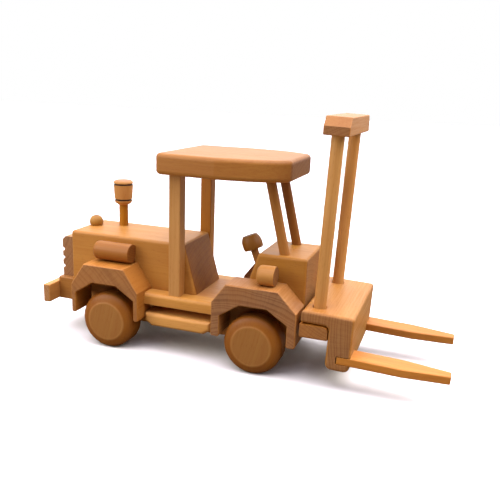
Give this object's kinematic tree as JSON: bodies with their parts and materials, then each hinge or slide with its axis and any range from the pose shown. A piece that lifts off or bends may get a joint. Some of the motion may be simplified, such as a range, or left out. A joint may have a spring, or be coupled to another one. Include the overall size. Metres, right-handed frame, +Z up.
{
  "type": "toy forklift",
  "caption": "Wooden toy forklift with turning wheels, roofed cab, exhaust and tank, and a forked carriage that slides up a leaning two-pole mast.",
  "frame": {"origin": "on the ground, under the middle of the outer box", "axes": "+X forwards, the way the forks point; +Y to the driver's left; +Z up"},
  "size_m": [0.4332, 0.126, 0.2528],
  "materials": {
    "beech": "oiled beech, sanded smooth, satin",
    "beech_dowel": "oiled beech dowel rod, grain along the rod, satin",
    "beech_turned": "oiled turned beech, end grain on the flat faces, satin"
  },
  "bodies": {
    "body": {"chassis_beam": "beech", "deck_board": "beech", "chassis_pins": "beech_dowel", "bumper_block": "beech", "bumper_bar": "beech", "radiator_grille": "beech", "engine_hood": "beech", "radiator_cap": "beech_turned", "exhaust_stem": "beech_dowel", "exhaust_head": "beech_turned", "side_tank": "beech_dowel", "console": "beech", "post_pins": "beech_dowel", "roof_board": "beech", "mast_base": "beech", "mast_crossbar": "beech", "floor_side_right": "beech", "step_board_right": "beech", "rear_fender_right": "beech", "front_fender_right": "beech", "cab_post_right": "beech", "headlight_right": "beech_dowel", "screen_dowel_right": "beech_dowel", "mast_pole_right": "beech_dowel", "floor_side_left": "beech", "step_board_left": "beech", "rear_fender_left": "beech", "front_fender_left": "beech", "cab_post_left": "beech", "headlight_left": "beech_dowel", "screen_dowel_left": "beech_dowel", "mast_pole_left": "beech_dowel"},
    "rear_wheelset": {"rear_axle": "beech_dowel", "rear_wheel_right": "beech_turned", "rear_wheel_left": "beech_turned"},
    "front_wheelset": {"front_axle": "beech_dowel", "front_wheel_right": "beech_turned", "front_wheel_left": "beech_turned"},
    "lift": {"carriage": "beech", "fork_right": "beech", "fork_left": "beech"},
    "steering": {"steering_column": "beech_dowel", "steering_knob": "beech_turned"}
  },
  "joints": [
    {"name": "rear_wheels_spin", "type": "hinge", "parent": "body", "child": "rear_wheelset", "pos_m": [-0.13133, 0, 0.03], "axis": [0, 1, 0], "continuous": true},
    {"name": "front_wheels_spin", "type": "hinge", "parent": "body", "child": "front_wheelset", "pos_m": [0.03007, 0, 0.03], "axis": [0, 1, 0], "continuous": true},
    {"name": "lift_slide", "type": "slide", "parent": "body", "child": "lift", "axis": [0.0349, 0, 0.9994], "range_m": [0, 0.158]},
    {"name": "steering_turn", "type": "hinge", "parent": "body", "child": "steering", "pos_m": [0.00657, 0, 0.119], "axis": [-0.3746, 0, 0.9272], "continuous": true}
  ]
}
